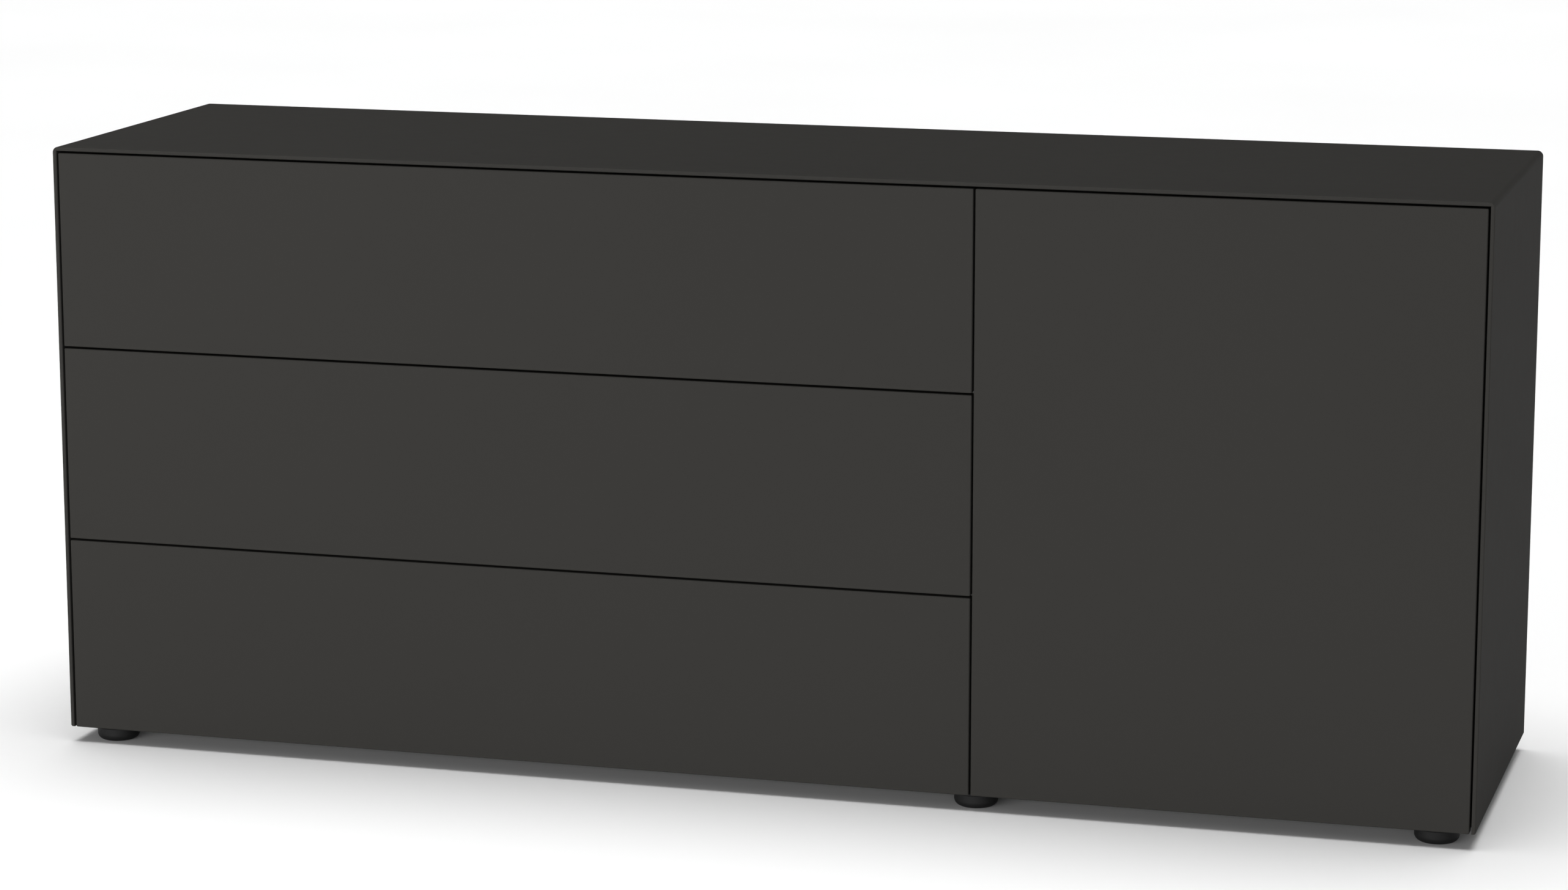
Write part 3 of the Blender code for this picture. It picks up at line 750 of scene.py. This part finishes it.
# ---------------------------------------------------------------- feet
def foot_profile(radius, height):
    """Half section of a foot: a bowl underneath, a straight band, a groove and a rounded rim."""
    groove_z = height - FOOT_GROOVE_DROP
    return [
        (0, height),
        (radius - FOOT_RIM, height),
        (radius, height - FOOT_RIM),
        (radius, groove_z + FOOT_GROOVE),
        (radius - FOOT_GROOVE, groove_z + FOOT_GROOVE / 2),
        (radius, groove_z - FOOT_GROOVE / 2),
        *arc((radius - FOOT_BOWL, FOOT_BOWL), FOOT_BOWL, start_deg=0, end_deg=-90, steps=14),
        (FOOT_PAD, 0.0),
        (FOOT_PAD - FOOT_PAD_EDGE, FOOT_PAD_EDGE),
        (0, FOOT_PAD_EDGE),
    ]


def build_feet():
    for row in ("front", "rear"):
        for column in ("left", "middle", "right"):
            name = f"foot_{row}_{column}"
            low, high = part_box(name)
            profile = foot_profile((high.x - low.x) / 2, high.z - low.z)
            centre = ((low.x + high.x) / 2, (low.y + high.y) / 2, low.z)
            foot = turned(profile, centre, Z, FOOT_ROUND)
            mesh_piece(f"{name}_moulded", foot, CASE, "foot_plastic", (name,))


# ---------------------------------------------------------------- CAD pieces that keep their shape
def dress_cad_nodes():
    """Materials for the CAD nodes that stay visible, and a fine bevel on slides and hinge arms."""
    slots = {s["node"]: s["material_slot"] for s in frame["record"]["subparts"]}
    for name, obj in frame["nodes"].items():
        if obj.hide_render:
            continue
        obj.data.materials.clear()
        obj.data.materials.append(MATERIALS[slots[name]])
        if name.endswith(("_slide", "_arm")):
            weld = obj.modifiers.new("joined_corners", "WELD")
            weld.merge_threshold = NEAR
            bevel = obj.modifiers.new("pressed_edges", "BEVEL")
            bevel.width = FITTING_BEVEL
            bevel.segments = 2
            bevel.limit_method = "ANGLE"
            bevel.angle_limit = SHARP


# ---------------------------------------------------------------- floor, light and camera
def build_floor():
    """A wide white floor that belongs to the picture only."""
    bm = bmesh.new()
    bmesh.ops.create_grid(bm, x_segments=1, y_segments=1, size=FLOOR_HALF)
    mesh = bpy.data.meshes.new("studio_floor")
    bm.to_mesh(mesh)
    bm.free()
    floor = bpy.data.objects.new("studio_floor", mesh)
    bpy.context.collection.objects.link(floor)
    mat, shader = new_material("studio_white")
    tone = colour_between(mat, object_noise(mat, scale=0.8, detail=2.0), *FLOOR_TONES)
    link(mat, tone, shader.inputs["Base Color"])
    shader.inputs["Roughness"].default_value = 0.9
    shader.inputs["Specular IOR Level"].default_value = 0.1
    mesh.materials.append(mat)
    return floor


def area_light(name, location, target, size, radiance, left_out=None):
    """A soft rectangular light that faces a point; it may leave one object to the other lights."""
    data = bpy.data.lights.new(name, "AREA")
    data.shape = "RECTANGLE"
    data.size, data.size_y = size
    data.energy = math.pi * size[0] * size[1] * radiance
    light = bpy.data.objects.new(name, data)
    light.location = location
    direction = Vector(target) - Vector(location)
    light.rotation_euler = direction.to_track_quat("-Z", "Y").to_euler()
    light.visible_camera = False
    bpy.context.collection.objects.link(light)
    if left_out:
        receivers = bpy.data.collections.new(f"{name}_receivers")
        receivers.objects.link(left_out)
        receivers.collection_objects[0].light_linking.link_state = "EXCLUDE"
        light.light_linking.receiver_collection = receivers


def build_world():
    """A bright studio: white at the horizon, darker walls and a broad soft ceiling."""
    world = bpy.data.worlds.new("studio")
    world.use_nodes = True
    bpy.context.scene.world = world
    nodes, links = world.node_tree.nodes, world.node_tree.links

    def fade(source, start, end, low, high):
        """A smooth change from low to high while the source goes from start to end."""
        made = nodes.new("ShaderNodeMapRange")
        made.interpolation_type = "SMOOTHSTEP"
        made.inputs["From Min"].default_value = start
        made.inputs["From Max"].default_value = end
        made.inputs["To Min"].default_value = low
        made.inputs["To Max"].default_value = high
        links.new(source, made.inputs["Value"])
        return made.outputs["Result"]

    place = nodes.new("ShaderNodeTexCoord").outputs["Generated"]
    split = nodes.new("ShaderNodeSeparateXYZ")
    links.new(place, split.inputs["Vector"])
    upwards = nodes.new("ShaderNodeVectorMath")
    upwards.operation = "DOT_PRODUCT"
    upwards.inputs[1].default_value = CEILING_CENTRE
    links.new(place, upwards.inputs[0])
    total = nodes.new("ShaderNodeMath")
    total.operation = "ADD"
    ceiling = fade(upwards.outputs["Value"], *CEILING_EDGE, WALL_LIGHT, CEILING_LIGHT)
    horizon = fade(split.outputs["Z"], *HORIZON_EDGE, HORIZON_LIGHT - WALL_LIGHT, 0.0)
    links.new(ceiling, total.inputs[0])
    links.new(horizon, total.inputs[1])
    links.new(total.outputs[0], nodes["Background"].inputs["Strength"])
    nodes["Background"].inputs["Color"].default_value = (1.0, 1.0, 1.0, 1.0)


def build_camera():
    """A long lens from the front right, a little above the object."""
    data = bpy.data.cameras.new("camera")
    data.sensor_width = 36.0
    data.lens = CAMERA_LENS
    data.clip_end = 200.0
    camera = bpy.data.objects.new("camera", data)
    camera.location = CAMERA_PLACE
    camera.rotation_euler = (math.pi / 2 - CAMERA_PITCH, 0.0, CAMERA_YAW)
    bpy.context.collection.objects.link(camera)
    bpy.context.scene.camera = camera


build_case_shell()
build_carcass()
build_back_fittings()
build_fronts()
build_drawer_boxes()
build_slide_screws()
build_door()
build_hinge_fittings()
build_latch_flanges()
build_feet()
dress_cad_nodes()

studio_floor = build_floor()
build_world()
area_light("front_softbox", *FRONT_SOFTBOX, studio_floor)
area_light("low_fill", *LOW_FILL)
area_light("left_softbox", *LEFT_SOFTBOX, studio_floor)
area_light("side_softbox", *SIDE_SOFTBOX, studio_floor)
area_light("rear_softbox", *REAR_SOFTBOX, studio_floor)
build_camera()
bpy.context.scene.view_settings.view_transform = "Standard"
